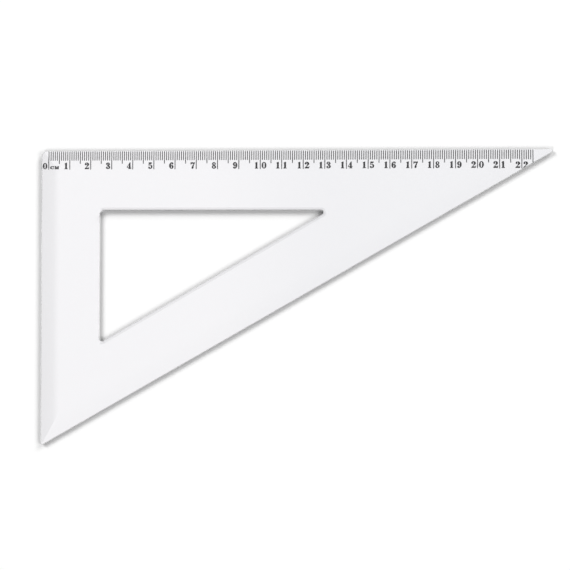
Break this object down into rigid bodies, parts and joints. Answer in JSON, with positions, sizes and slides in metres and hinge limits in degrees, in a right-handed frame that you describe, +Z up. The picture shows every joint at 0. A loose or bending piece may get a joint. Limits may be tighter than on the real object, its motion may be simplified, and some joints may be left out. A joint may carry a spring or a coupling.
{
  "type": "drafting triangle",
  "caption": "Clear plastic 30/60/90 set square with bevelled edges, a triangular cut-out and a printed centimetre scale along its long leg, for drawing and measuring lines.",
  "frame": {"origin": "on the flat underside, below the middle of the plate's bounding box", "axes": "+X along the printed scale to the 30 degree tip, +Y towards the graduated long leg, +Z up through the plate, away from the printed underside"},
  "size_m": [0.237, 0.1374, 0.003],
  "materials": {
    "clear_plastic": "clear moulded plastic with polished faces and light handling scuffs",
    "black_ink": "matt black stamped ink"
  },
  "bodies": {
    "root": {"triangle_plate": "clear_plastic", "millimetre_marks": "black_ink", "half_centimetre_marks": "black_ink", "centimetre_marks": "black_ink"}
  },
  "joints": []
}
